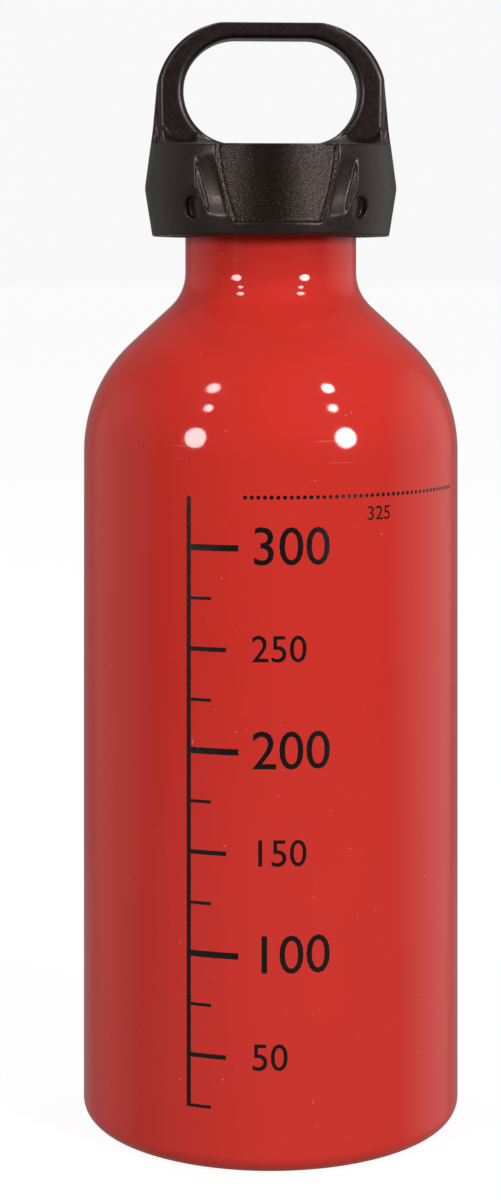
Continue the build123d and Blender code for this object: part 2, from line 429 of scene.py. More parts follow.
def add_solid(bm, rows):
    """Closed surface through rows of points; each row is a closed loop, and the end rows are capped."""
    join_rings(bm, [[bm.verts.new(point) for point in row] for row in rows])


def smooth_step(value):
    value = max(0.0, min(1.0, value))
    return value * value * (3 - 2 * value)


def smooth_min(a, b, soft):
    """The smaller of a and b, with the corner between them rounded over."""
    share = max(0.0, min(1.0, 0.5 + 0.5 * (b - a) / soft))
    return b + (a - b) * share - soft * share * (1 - share)


def mesh_of(bm):
    """The finished mesh; the bmesh is freed."""
    bmesh.ops.recalc_face_normals(bm, faces=bm.faces)
    mesh = bpy.data.meshes.new("shape")
    bm.to_mesh(mesh)
    bm.free()
    return mesh


def placed(name, data):
    """A new object in the scene."""
    obj = bpy.data.objects.new(name, data)
    bpy.context.scene.collection.objects.link(obj)
    return obj


def with_modifiers(bm, *settings):
    """The mesh after these modifiers, each given as (type, properties)."""
    obj = placed("shape", mesh_of(bm))
    for kind, values in settings:
        modifier = obj.modifiers.new(kind, kind)
        for key, value in values.items():
            setattr(modifier, key, value)
    done = obj.evaluated_get(bpy.context.evaluated_depsgraph_get())
    result = bmesh.new()
    result.from_mesh(done.to_mesh())
    done.to_mesh_clear()
    bpy.data.objects.remove(obj)
    return result


def moulded(bm, passes):
    """Overlapping solids run together into one skin, its edges softened as a mould leaves them."""
    return with_modifiers(
        bm,
        ("REMESH", {"mode": "VOXEL", "voxel_size": VOXEL}),
        ("SMOOTH", {"factor": SMOOTHING, "iterations": passes}),
    )


def without_box(bm, centre, size):
    """The shape less a box."""
    tool = bmesh.new()
    bmesh.ops.create_cube(tool, size=1)
    bmesh.ops.scale(tool, vec=size, verts=tool.verts)
    bmesh.ops.translate(tool, vec=centre, verts=tool.verts)
    cutter = placed("cutter", mesh_of(tool))
    cut = {"operation": "DIFFERENCE", "object": cutter, "solver": "EXACT"}
    result = with_modifiers(bm, ("BOOLEAN", cut))
    bpy.data.objects.remove(cutter)
    return result


def piece(name, bm, body, materials, replaced=None, sharp=radians(35)):
    """Makes the shape a piece of the object, in metres, riding on that body."""
    bmesh.ops.scale(bm, vec=(MM, MM, MM), verts=bm.verts)
    mesh = mesh_of(bm)
    mesh.name = name
    for material in materials:
        mesh.materials.append(material)
    mesh.shade_smooth()
    mesh.set_sharp_from_angle(angle=sharp)
    obj = placed(name, mesh)
    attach(obj, body)
    if replaced:
        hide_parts(replaced)
    return obj


# Materials


class Nodes:
    """A material's node tree, with short calls to add and join nodes."""

    def __init__(self, name, **sockets):
        self.material = bpy.data.materials.new(name)
        self.material.use_nodes = True
        self.tree = self.material.node_tree
        self.shader = self.tree.nodes["Principled BSDF"]
        self.set(self.shader, **sockets)
        self.place = self.add("ShaderNodeTexCoord").outputs["Object"]

    def set(self, node, **sockets):
        for key, value in sockets.items():
            node.inputs[key.replace("_", " ")].default_value = value

    def add(self, kind, **sockets):
        node = self.tree.nodes.new(kind)
        self.set(node, **sockets)
        return node

    def link(self, output, node, socket):
        self.tree.links.new(output, node.inputs[socket])

    def noise(self, size, detail, stretch=(1, 1, 1)):
        """Noise whose blobs are about this many mm across."""
        mapping = self.add("ShaderNodeMapping", Scale=stretch)
        self.link(self.place, mapping, "Vector")
        node = self.add("ShaderNodeTexNoise", Scale=1 / (size * MM), Detail=detail)
        self.link(mapping.outputs["Vector"], node, "Vector")
        return node.outputs["Fac"]

    def ramp(self, value, span, results):
        """value over the span brought to the results; both are (low, high)."""
        (low, high), (to_low, to_high) = span, results
        node = self.add("ShaderNodeMapRange", From_Min=low, From_Max=high, To_Min=to_low, To_Max=to_high)
        self.link(value, node, "Value")
        return node.outputs["Result"]

    def mix(self, share, first, last):
        """Colour from first to last; each is a colour or another node's output."""
        node = self.tree.nodes.new("ShaderNodeMix")
        node.data_type = "RGBA"
        sockets = {socket.identifier: socket for socket in node.inputs}
        self.tree.links.new(share, sockets["Factor_Float"])
        for end, value in (("A_Color", first), ("B_Color", last)):
            if isinstance(value, tuple):
                sockets[end].default_value = (*value, 1)
            else:
                self.tree.links.new(value, sockets[end])
        return next(socket for socket in node.outputs if socket.identifier == "Result_Color")

    def bump(self, height, strength, relief):
        node = self.add("ShaderNodeBump", Strength=strength, Distance=relief * MM)
        self.link(height, node, "Height")
        return node.outputs["Normal"]

    def finish(self, colour, roughness, normal):
        """Joins the three to the shader, and gives the material."""
        for value, socket in ((colour, "Base Color"), (roughness, "Roughness"), (normal, "Normal")):
            self.link(value, self.shader, socket)
        return self.material


def red_coat():
    """Gloss red lacquer: a trace of orange peel, fine rubs, pale streaks round the axis that are partly
    scuffs and partly a painted reflection, and dust.
    """
    n = Nodes("red_coat", IOR=1.4)
    paint = n.mix(n.noise(size=18.0, detail=3.0), *LACQUER)
    # Pale streaks round the axis: partly scuffs, partly painted reflection streaks painted into the base
    # colour
    scuffs_and_sheen = n.ramp(n.noise(size=2.2, detail=3.0, stretch=ROUND_THE_AXIS), (0.74, 0.80), (0.0, 0.35))
    dust = n.ramp(n.noise(size=0.5, detail=0.0), (0.86, 0.90), (0.0, 0.5))
    rubs = n.noise(size=2.5, detail=4.0, stretch=ALONG_THE_AXIS)
    return n.finish(
        n.mix(dust, n.mix(scuffs_and_sheen, paint, SCUFF_AND_SHEEN), DUST),
        n.ramp(rubs, (0.35, 0.75), (0.05, 0.10)),
        n.bump(n.noise(size=1.6, detail=1.0), strength=0.12, relief=0.02),
    )


def bare_aluminium():
    """Drawn aluminium with faint lines round the axis."""
    n = Nodes("bare_aluminium", Metallic=1.0)
    lines = n.noise(size=0.8, detail=3.0, stretch=LINES_ROUND_THE_AXIS)
    return n.finish(
        n.mix(lines, *ALUMINIUM),
        n.ramp(lines, (0.3, 0.7), (0.28, 0.42)),
        n.bump(lines, strength=0.25, relief=0.02),
    )


def spring_wire():
    """Drawn stainless wire."""
    n = Nodes("spring_wire", Metallic=1.0)
    marks = n.noise(size=0.3, detail=3.0)
    return n.finish(
        n.mix(marks, *STEEL),
        n.ramp(marks, (0.3, 0.7), (0.22, 0.38)),
        n.bump(marks, strength=0.1, relief=0.01),
    )


def moulded_plastic(name, colours, tint, grain, roughness, relief):
    """Black moulding plastic; the grain's size and relief are in mm."""
    n = Nodes(name, IOR=1.5, Specular_Tint=(*tint, 1))
    return n.finish(
        n.mix(n.noise(size=6.0, detail=3.0), *colours),
        n.ramp(n.noise(size=grain * 1.5, detail=1.0), (0.35, 0.65), roughness),
        n.bump(n.noise(size=grain, detail=1.0), strength=1.0, relief=relief),
    )


def nitrile():
    """Matt black seal rubber."""
    n = Nodes("nitrile", IOR=1.5)
    return n.finish(
        n.mix(n.noise(size=1.5, detail=3.0), *RUBBER),
        n.ramp(n.noise(size=0.6, detail=2.0), (0.3, 0.7), (0.45, 0.65)),
        n.bump(n.noise(size=0.3, detail=2.0), strength=0.2, relief=0.01),
    )


def black_ink():
    """Screen-printed ink on the lacquer, a little uneven."""
    n = Nodes("black_ink", IOR=1.45)
    return n.finish(
        n.mix(n.noise(size=1.2, detail=3.0), *INK),
        n.ramp(n.noise(size=0.5, detail=2.0), (0.3, 0.7), (0.22, 0.34)),
        n.bump(n.noise(size=0.4, detail=2.0), strength=0.15, relief=0.005),
    )


def pale_floor():
    """Pale floor that glows a little, so that it stays nearly white far from the lamps."""
    n = Nodes("pale_floor", Roughness=0.9, Specular_IOR_Level=0.2, Emission_Strength=FLOOR_GLOW)
    n.set(n.shader, Emission_Color=(1, 1, 1, 1))
    n.link(n.mix(n.noise(size=180.0, detail=2.0), *FLOOR_GREY), n.shader, "Base Color")
    return n.material


# Bottle


def ridge(angle, z, foot_z, top_z, phase):
    """Height of a right-hand thread ridge at this angle and height, run out at both ends."""
    turn = (z - foot_z) / PITCH - angle / (2 * pi) - phase
    away = abs(turn - round(turn)) * PITCH
    flank = (RIDGE_FOOT_W - RIDGE_CREST_W) / 2
    height = smooth_step((RIDGE_FOOT_W / 2 - away) / flank)
    return RIDGE_H * height * smooth_step((z - foot_z) / PITCH) * smooth_step((top_z - z) / PITCH)


def bottle_outside(foot_in_r, dish_r):
    shoulder_z = WALL_H + SHOULDER_R * tan(CONE / 2)
    throat_z = NECK_Z - THROAT_R * tan(CONE / 2)
    corners = [
        (0, DISH_H, 0),
        (dish_r, DISH_H, DISH_ROUND_R[0]),
        (foot_in_r, 0, FOOT_ROUND_R[0]),
        (COAT_R, 0, BASE_CORNER_R),
        (COAT_R, shoulder_z, SHOULDER_R),
        (NECK_R, throat_z, THROAT_R),
        (NECK_R, LIP_Z, LIP_ROUND_R),
        (NECK_R - LIP_ROUND_R - TINY, LIP_Z, 0),
    ]
    return rounded(corners, FINE_ARC)


def bottle_inside(foot_in_r, dish_r):
    wall_r = COAT_R - WALL_T
    shoulder_r, throat_r = SHOULDER_R - WALL_T, THROAT_R + NECK_WALL_T
    corners = [
        (BORE_R, NECK_Z, 0),
        (BORE_R, NECK_Z - throat_r * tan(CONE / 2), throat_r - TINY),
        (wall_r, WALL_H + shoulder_r * tan(CONE / 2), shoulder_r - SHOULDER_SLACK),
        (wall_r, BASE_T, BASE_CORNER_R - WALL_T),
        (foot_in_r, BASE_T, FOOT_ROUND_R[1]),
        (dish_r, DISH_H + BASE_T, DISH_ROUND_R[1]),
        (0, DISH_H + BASE_T, 0),
    ]
    bore = straight((BORE_R, SEAT_Z), (BORE_R, NECK_Z), THREAD_MESH)
    return [(BORE_R + SEAT_CHAMFER, LIP_Z)] + bore + rounded(corners)


def build_bottle(coat, metal):
    foot_in_r = COAT_R - BASE_CORNER_R - FOOT_W
    dish_r = foot_in_r - DISH_SLOPE_W
    outside, inside = bottle_outside(foot_in_r, dish_r), bottle_inside(foot_in_r, dish_r)

    def shape(angle, r, z):
        if abs(r - BORE_R) < TINY and z > NECK_Z:
            return r - ridge(angle, z, NECK_Z, SEAT_Z, 0.0)
        return r

    slots = [0] * (len(outside) - 1) + [1] * len(inside)
    bm = lathe(outside + inside, LATHE_STEPS, shape, slots=slots)
    piece("bottle_wall", bm, "bottle", (coat, metal), "bottle")


# Printed scale


def add_film(target, flat, azimuth, height):
    """Adds a flat print, closed to a thin film and laid round the wall at that angle and height."""
    bmesh.ops.triangulate(flat, faces=flat.faces)
    for _ in range(PRINT_HALVINGS):
        too_long = [edge for edge in flat.edges if edge.calc_length() > PRINT_MESH]
        if not too_long:
            break
        bmesh.ops.subdivide_edges(flat, edges=too_long, cuts=1)
        bmesh.ops.triangulate(flat, faces=flat.faces)
    film = bmesh.ops.extrude_face_region(flat, geom=list(flat.faces))
    top = {v for v in film["geom"] if isinstance(v, bmesh.types.BMVert)}
    for v in flat.verts:
        r = PRINT_R if v in top else PRINT_FOOT_R
        v.co = on_axis(azimuth + v.co.x / BODY_R, r, height + v.co.y)
    mesh = mesh_of(flat)
    target.from_mesh(mesh)
    bpy.data.meshes.remove(mesh)


def flat_shape(corners):
    bm = bmesh.new()
    bm.faces.new([bm.verts.new((x, y, 0)) for x, y in corners])
    return bm


def bar(width, height, left=0.0):
    """Flat bar from left, centred in height."""
    right, half = left + width, height / 2
    return flat_shape([(left, -half), (right, -half), (right, half), (left, half)])


def disc(radius, sides):
    return flat_shape([(radius * cos(a), radius * sin(a)) for a in round_angles(sides)])


def numeral(text, height, align):
    """Flat figures of this height, in Blender's own font."""
    curve = bpy.data.curves.new("numeral", "FONT")
    curve.body = text
    curve.size = height / FIGURE_SHARE
    curve.align_x = align
    curve.align_y = "CENTER"
    curve.resolution_u = FIGURE_FINENESS
    obj = placed("numeral", curve)
    bpy.context.view_layer.update()
    mesh = bpy.data.meshes.new_from_object(obj.evaluated_get(bpy.context.evaluated_depsgraph_get()))
    bm = bmesh.new()
    bm.from_mesh(mesh)
    bmesh.ops.remove_doubles(bm, verts=bm.verts, dist=WELD)
    bpy.data.objects.remove(obj)
    bpy.data.curves.remove(curve)
    return bm


def scale_z(volume):
    return FILL_Z - (FILL_ML - volume) / ML_PER_MM


def build_print(ink):
    """Graduated scale, and the dotted line that marks the highest filling."""
    bm = bmesh.new()
    for volume in range(MARK_ML, FILL_ML, MARK_ML):
        rank = 0 if volume % 100 == 0 else 1 if volume % 50 == 0 else 2
        length, thickness, figures = SCALE_MARKS[rank]
        add_film(bm, bar(length, thickness), SCALE_ANGLE, scale_z(volume))
        if figures:
            text = numeral(str(volume), figures, "LEFT")
            add_film(bm, text, SCALE_ANGLE + FIGURES_X / BODY_R, scale_z(volume))
    foot_z = scale_z(MARK_ML) - SCALE_MARKS[2][1] / 2
    add_film(bm, bar(SPINE_W, FILL_Z - foot_z, -SPINE_W), SCALE_ANGLE, (FILL_Z + foot_z) / 2)
    for k in range(DOT_COUNT):
        add_film(bm, disc(DOT_R, DOT_SIDES), FIRST_DOT_ANGLE + k * DOT_PITCH / BODY_R, FILL_Z)
    text = numeral(str(FILL_ML), FILL_TEXT_H, "CENTER")
    add_film(bm, text, FILL_TEXT_ANGLE, FILL_Z - FILL_TEXT_DROP)
    piece("print_scale", bm, "bottle", (ink,))


# Plug, seal and spring


def add_dog(bm, angle, foot_z, tip_z):
    """Tapered block that points from foot_z to tip_z."""
    rows = []
    for z, draft in ((foot_z, 0.0), (tip_z, DOG_DRAFT)):
        inner, outer = DOG_IN_R + draft, DOG_OUT_R - draft
        sides = ((inner, -1), (outer, -1), (outer, 1), (inner, 1))
        rows.append([on_axis(angle + side * (DOG_HALF - draft / r), r, z) for r, side in sides])
    add_solid(bm, rows)


def plug_outline():
    thread_top_z, thread_foot_z = FLANGE_Z - STEM_RELIEF_H, TIP_Z + TIP_CHAMFER
    top = [
        (0, WELL_Z, 0),
        (WELL_R, WELL_Z, WELL_ROUND_R),
        (WELL_R, DECK_Z, PLUG_ROUND_R),
        (FLANGE_R, DECK_Z, FLANGE_ROUND_R),
        (FLANGE_R, FLANGE_Z, FLANGE_ROUND_R),
        (STEM_R, FLANGE_Z, PLUG_ROUND_R),
        (STEM_R, thread_top_z, 0),
    ]
    tip = [
        (STEM_R, thread_foot_z, 0),
        (STEM_R - TIP_CHAMFER, TIP_Z, TIP_ROUND_R),
        (STEM_BORE_R, TIP_Z, PLUG_ROUND_R),
        (STEM_BORE_R, STEM_FLOOR_Z, STEM_FLOOR_ROUND_R),
        (0, STEM_FLOOR_Z, 0),
    ]
    thread = straight((STEM_R, thread_top_z), (STEM_R, thread_foot_z), THREAD_MESH)
    return rounded(top) + thread[1:] + rounded(tip)


def build_plug(plastic):
    # Half a pitch from the neck's ridges, which start at NECK_Z
    phase = (NECK_Z - TIP_Z) / PITCH + 0.5

    def shape(angle, r, z):
        if abs(r - STEM_R) < TINY:
            return r + ridge(angle, z, TIP_Z, STEM_THREAD_TOP_Z, phase)
        return r

    bm = lathe(plug_outline(), LATHE_STEPS, shape)
    for k in range(DOG_COUNT):
        # Half a pitch round from the shell's dogs
        angle = 2 * pi * (k + 0.5) / DOG_COUNT + pi / DOG_COUNT
        add_dog(bm, angle, DECK_Z - DOG_SINK, DOG_TOP_Z)
    bm = moulded(bm, PLUG_PASSES)
    for side in (-1, 1):
        centre = (side * (STEM_R + STEM_BORE_R) / 2, 0, TIP_Z + VENT_H / 2 - VENT_OVER_H / 2)
        size = (STEM_R - STEM_BORE_R + VENT_OVER_W, VENT_W, VENT_H + VENT_OVER_H)
        bm = without_box(bm, centre, size)
    piece("plug_moulding", bm, "plug", (plastic,), "threaded_plug")


def build_seal(rubber):
    ring = [(SEAL_R + CORD_R * cos(a), SEAL_Z + CORD_R * sin(a)) for a in round_angles(CORD_SIDES)]
    bm = lathe(ring, SEAL_STEPS, closed=True)
    piece("seal_ring", bm, "seal", (rubber,), "o_ring")


def build_spring(steel):
    """Round wire with closed ends."""
    low, high = SPRING_FOOT_Z + WIRE_R, SPRING_TOP_Z - WIRE_R
    samples = round(COIL_TURNS * COIL_STEPS)
    centres = []
    for k in range(samples + 1):
        turn = COIL_TURNS * k / samples
        open_share = smooth_step((turn - CLOSED_TURNS * 0.5) / (COIL_TURNS - CLOSED_TURNS))
        centres.append(on_axis(2 * pi * turn, COIL_R, low + (high - low) * open_share))
    bm = bmesh.new()
    add_tube(bm, centres, WIRE_R, WIRE_SIDES)
    spring = piece("spring_coil", bm, "spring", (steel,), "return_spring")
    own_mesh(spring)


# Cap shell: the side with its grip pattern


def cone_r(z):
    """Radius of the cap's upper cone, carried on above the crown."""
    return WAIST_R + (CROWN_R - WAIST_R) * (z - WAIST_Z) / (CROWN_Z - WAIST_Z)


def crown_rise(x):
    """Height of the crown's rim above its front, at this distance to the side."""
    return CROWN_RISE * (1 - sqrt(max(0.0, 1 - (x / CROWN_R) ** 2)))


def panel_edge(z):
    """Half the width of the grained panel at this height."""
    return PANEL_TOP_X - PANEL_CURVE * max(0.0, CROWN_Z - z) ** PANEL_POWER


def flute_cut(from_edge, r, z):
    """Radius with the flute cut in, this far along the side from the panel's edge."""
    share = (z - SKIRT_Z) / (CROWN_Z - SKIRT_Z)
    across = from_edge / (FLUTE_W[0] + (FLUTE_W[1] - FLUTE_W[0]) * share)
    if across >= CUT_LIMIT:
        return r
    (low, high), (low_run, high_run) = FLUTE_ENDS, FLUTE_RUNS
    past = max((low + low_run - z) / low_run, (z - high + high_run) / high_run, 0.0)
    rise = FLUTE_RISE * smooth_step((across - FLUTE_RISE_FROM) / (1 - FLUTE_RISE_FROM))
    wall = CUT_WALL_H * max(0.0, across - 1 + FLUTE_WALL_W) / FLUTE_WALL_W
    return smooth_min(r, FLUTE_FLOOR_R + rise + wall + FLUTE_END_RISE * past**2, CUT_SOFT)


def notch_cut(arc, r, z, surface):
    """The surface's radius with the thumb notch cut in; its floor is a ramp from the radius r."""
    side, up = arc - NOTCH_PLACE[0], z - NOTCH_PLACE[1]
    away = hypot(side, up) / NOTCH_R
    if away >= CUT_LIMIT:
        return surface
    floor = r + NOTCH_LIP - (NOTCH_D + NOTCH_LIP) * (side / NOTCH_R + 1) / 2
    wall = CUT_WALL_H * max(0.0, away - NOTCH_WALL_FROM) / NOTCH_WALL_W
    return smooth_min(surface, floor + wall, CUT_SOFT)


def grip(angle, r, z):
    """Outer radius of the cap's side with the pattern cut in."""
    if r < EDGE_R - SKIRT_ROUND_R or z < SKIRT_Z + SKIRT_ROUND_R:
        return r
    arc = abs((angle + pi / 2) % pi - pi / 2) * GRIP_R
    from_edge = arc - GRIP_R * asin(panel_edge(z) / GRIP_R)
    panel = r + min(0.0, PANEL_R - r) * smooth_step((z - BAND_Z) / EDGE_SOFT + 0.5)
    flute = flute_cut(from_edge, r, z)
    surface = panel + (flute - panel) * smooth_step(from_edge / EDGE_SOFT + 0.5)
    crest = FLUTE_CREST * exp(-((from_edge / FLUTE_CREST_W) ** 2))
    return notch_cut(arc, r, z, min(r, surface + crest))


# Cap shell: the carrying loop


def in_loop(x, z):
    """Whether this point lies inside the loop's outer outline."""
    x = abs(x)
    side_x = LEG_X + LEG_SPREAD * smooth_step((z - CROWN_Z) / (CORNER_Z - CROWN_Z))
    if x > side_x or z > LOOP_TOP_Z or z < ROOT_Z:
        return False
    return x < CORNER_X or z < CORNER_Z or hypot(x - CORNER_X, z - CORNER_Z) < CORNER_R


def loop_edge(centre_x, along):
    """Distance from the slot's centre line to the loop's outer outline."""
    near, far = SLOT_R, LOOP_REACH
    for _ in range(HALVINGS):
        middle = (near + far) / 2
        if in_loop(centre_x + along.x * middle, SLOT_Z + along.z * middle):
            near = middle
        else:
            far = middle
    return near


def loop_section(width):
    """(distance from the slot, y) points round the bar, its edges rounded."""
    half = LOOP_T / 2
    corners = (
        (0, 1, SLOT_ROUND_R, -90),
        (width, 1, LOOP_ROUND_R, 0),
        (width, -1, LOOP_ROUND_R, 90),
        (0, -1, SLOT_ROUND_R, 180),
    )
    section = []
    for edge, side, radius, start in corners:
        inward = 1 if edge == 0 else -1
        for k in range(ROUND_POINTS):
            angle = radians(start + 90 * k / (ROUND_POINTS - 1))
            out = edge + radius * (inward + sin(angle))
            section.append((out, side * (half - radius) + radius * cos(angle)))
    return section


def add_loop(bm):
    """The carrying loop, as rings of the bar's section round the slot."""
    stations = []
    for side in (1, -1):
        end_x, quarter = side * SLOT_HALF_SPAN, side * pi / 2
        stations += [(end_x, -quarter + pi * k / ARC_STATIONS) for k in range(ARC_STATIONS)]
        stations += [(end_x * (1 - 2 * k / BAR_STATIONS), quarter) for k in range(BAR_STATIONS)]
    rings = []
    for centre_x, angle in stations:
        along = Vector((cos(angle), 0, sin(angle)))
        centre = Vector((centre_x, 0, SLOT_Z))
        ring = []
        for out, y in loop_section(loop_edge(centre_x, along) - SLOT_R):
            point = centre + along * (SLOT_R + out)
            point.y = y
            ring.append(bm.verts.new(point))
        rings.append(ring)
    join_rings(bm, rings, closed=True)


def pad_x(y, z):
    """How far to the side the pad's face stands at this place."""
    flare = sqrt(max(cone_r(z) - UNDER_SKIN, PAD_R - PAD_FLARE * (z - CROWN_Z)) ** 2 - y**2)
    corner = CORNER_X + sqrt(CORNER_R**2 - (z - CORNER_Z) ** 2) if z > CORNER_Z else flare
    over = max(0.0, abs(y) - PAD_HALF_T + PAD_ROUND_R)
    return min(flare, corner) - PAD_ROUND_R + sqrt(PAD_ROUND_R**2 - over**2)


def add_pads(bm):
    """Flared pads down the outside of the legs."""
    top_z = CORNER_Z + sqrt(CORNER_R**2 - (LEG_X - CORNER_X) ** 2)
    heights = [ROOT_Z + (top_z - ROOT_Z) * k / PAD_ROWS for k in range(PAD_ROWS + 1)]
    across = [PAD_HALF_T * (2 * k / PAD_COLUMNS - 1) for k in range(PAD_COLUMNS + 1)]
    for side in (-1, 1):
        rows = []
        for z in heights:
            face = [Vector((side * pad_x(y, z), y, z)) for y in across]
            inside = [Vector((side * (LEG_X - PAD_DEPTH), y, z)) for y in reversed(across)]
            rows.append(face + inside)
        add_solid(bm, rows)


def edge_drop(distance, radius):
    """How far a rounded edge falls away, this far in from the edge."""
    return radius - sqrt(max(0.0, radius**2 - max(0.0, radius - max(0.0, distance)) ** 2))


def leg_front(x, z):
    """How far the leg's root stands out from the centre plane: a round hollow between two webs."""
    past_span = max(0.0, x - SLOT_HALF_SPAN)
    slot_gap = hypot(past_span, z - SLOT_Z) - SLOT_R
    edges = edge_drop(slot_gap, SLOT_ROUND_R), edge_drop(LEG_X - x, LOOP_ROUND_R)
    face = LOOP_T / 2 - edges[0] - edges[1] - UNDER_SKIN
    beside_panel = smooth_step((x - PANEL_TOP_X) / INSET_BLEND_W)
    rim_r = PANEL_R - PANEL_INSET + (cone_r(z) - CONE_INSET - PANEL_R) * beside_panel
    rim_z = CROWN_Z + crown_rise(x)
    reach = sqrt(rim_r**2 - x**2) - face
    slot_floor = SLOT_Z - sqrt(max(0.0, SLOT_R**2 - past_span**2))
    outer_share = max(0.0, min(1.0, (x - BOWL_X) / (OUTER_WEB_X - BOWL_X)))
    outer_h = OUTER_WEB_H * outer_share**OUTER_WEB_POWER
    inner_share = smooth_step((BOWL_X - INNER_WEB_GAP - x) / INNER_WEB_RUN)
    inner_h = INNER_WEB * (slot_floor - rim_z) * inner_share
    up = max(0.0, z - rim_z)
    bowl = BOWL_R * (1 - sqrt(1 - max(0.0, 1 - up / BOWL_R) ** 2))
    web = reach * max(0.0, 1 - up / (max(outer_h, inner_h) + TINY)) ** WEB_POWER
    return face + min(reach, cbrt(bowl**3 + web**3))


def add_leg_fillets(bm):
    """Flares that run each leg's faces out to the crown's rim."""
    span = OUTER_WEB_H + FILLET_OVER
    shares = [(k / FILLET_ROWS) ** FILLET_ROW_POWER for k in range(FILLET_ROWS + 1)]
    heights = [ROOT_Z] + [CROWN_Z - FILLET_ROOT + span * share for share in shares]
    for side in (-1, 1):
        rows = []
        for z in heights:
            drop = min(max(0.0, SLOT_Z - z), SLOT_R)
            inner = SLOT_HALF_SPAN + sqrt(SLOT_R**2 - drop**2) if drop < SLOT_R else 0.0
            places = [inner + (LEG_X - inner) * k / FILLET_COLUMNS for k in range(FILLET_COLUMNS + 1)]
            front = [Vector((side * x, -leg_front(x, z), z)) for x in places]
            back = [Vector((p.x, -p.y, p.z)) for p in reversed(front)]
            rows.append(front + back)
        add_solid(bm, rows)


# Cap shell: the whole moulding


def cap_outline():
    """From the axis under the roof down the inside, round the skirt, up the side and over the crown."""
    corners = [
        (EDGE_R - 2 * SKIRT_ROUND_R, SKIRT_Z, 0),
        (EDGE_R, SKIRT_Z, SKIRT_ROUND_R),
        (WAIST_R, WAIST_Z, WAIST_ROUND_R),
        (CROWN_R, CROWN_Z, CROWN_ROUND_R),
        (CROWN_R - 2 * CROWN_ROUND_R, CROWN_Z, 0),
    ]
    side = rounded(corners)
    outline = []
    for first, last in zip(side, side[1:]):
        outline += straight(first, last, CAP_MESH)
    outline += straight(side[-1], (0, CROWN_Z), CROWN_MESH)
    inside = [
        (0, ROOF_Z - BOSS_H),
        (BOSS_R, ROOF_Z - BOSS_H),
        (BOSS_R, ROOF_Z),
        (CAVITY_R, ROOF_Z),
        (CAVITY_R, BEAD_Z),
        (BEAD_R, BEAD_Z),
        (CAVITY_R, BEAD_Z - BEAD_H),
        (CAVITY_R, SKIRT_Z + MOUTH_CHAMFER),
        (CAVITY_R + MOUTH_CHAMFER, SKIRT_Z),
    ]
    return inside + outline + [(0, CROWN_Z)]


def raise_rim(bm):
    """Raises the crown towards the legs, and draws its side in to stay on the cone."""
    slope = (WAIST_R - CROWN_R) / (CROWN_Z - WAIST_Z)
    for v in bm.verts:
        share = (v.co.z - WAIST_Z) / (CROWN_Z - WAIST_Z)
        r = hypot(v.co.x, v.co.y)
        if share > 0 and (r > OUTER_SIDE_R or v.co.z > CROWN_Z - TINY):
            rise = crown_rise(v.co.x) * share
            v.co.z += rise
            if r > CROWN_R - 2 * CROWN_ROUND_R:
                v.co.xy *= 1 - rise * slope / r


def grained(centre):
    """Whether this place, in mm, is on the panel or on a pad."""
    x, y, z = centre
    if z >= CROWN_Z:
        return abs(y) < PAD_HALF_T and abs(x) > LEG_X + PAD_GRAIN_FROM
    level = BAND_Z + GRAIN_MARGIN < z < CROWN_Z - GRAIN_TOP_MARGIN
    return level and abs(x) < panel_edge(z) - GRAIN_MARGIN and hypot(x, y) > OUTER_SIDE_R


def build_cap(satin, grain):
    def shape(angle, r, z):
        return grip(angle, r, z) if z < CROWN_Z - TINY and r > OUTER_SIDE_R else r

    bm = lathe(cap_outline(), CAP_STEPS, shape)
    raise_rim(bm)
    add_loop(bm)
    add_pads(bm)
    add_leg_fillets(bm)
    for k in range(DOG_COUNT):
        add_dog(bm, 2 * pi * (k + 0.5) / DOG_COUNT, ROOF_Z + DOG_SINK, ROOF_Z - DOG_H)
    bm = moulded(bm, CAP_PASSES)
    for face in bm.faces:
        face.material_index = 1 if grained(face.calc_center_median()) else 0
    piece("cap_moulding", bm, "shell", (satin, grain), "cap_shell", radians(180))


# Studio


def build_floor(material):
    bm = bmesh.new()
    bmesh.ops.create_circle(bm, cap_ends=True, radius=FLOOR_R, segments=FLOOR_SIDES)
    mesh = mesh_of(bm)
    mesh.materials.append(material)
    floor = placed("floor", mesh)
    floor.visible_glossy = False
    floor.visible_diffuse = False


def add_lamp(name, azimuth, elevation, width, radiance):
    """Round soft lamp aimed at the shoulder; angles in degrees, azimuth from the camera towards +X."""
    target = Vector((0, 0, WALL_H * MM))
    a, e = CAMERA_AZIMUTH + radians(azimuth), radians(elevation)
    away = Vector((sin(a) * cos(e), -cos(a) * cos(e), sin(e)))
    light = bpy.data.lights.new(name, "AREA")
    light.shape = "DISK"
    light.size = 2 * LAMP_DISTANCE * tan(radians(width / 2))
    light.energy = radiance * pi * pi * (light.size / 2) ** 2
    obj = placed(name, light)
    obj.location = target + away * LAMP_DISTANCE
    obj.rotation_mode = "QUATERNION"
    obj.rotation_quaternion = away.to_track_quat("Z", "Y")
    obj.visible_camera = False


def build_lights():
    for side, gain in LAMP_SIDES:
        for name, azimuth, elevation, width in FRONT_LAMPS:
            add_lamp(f"{name}_{side}", side * azimuth, elevation, width, LAMP_RADIANCE * gain)
        name, azimuth, elevation, width = BACK_LAMP
        add_lamp(f"{name}_{side}", side * azimuth, elevation, width, LAMP_RADIANCE)


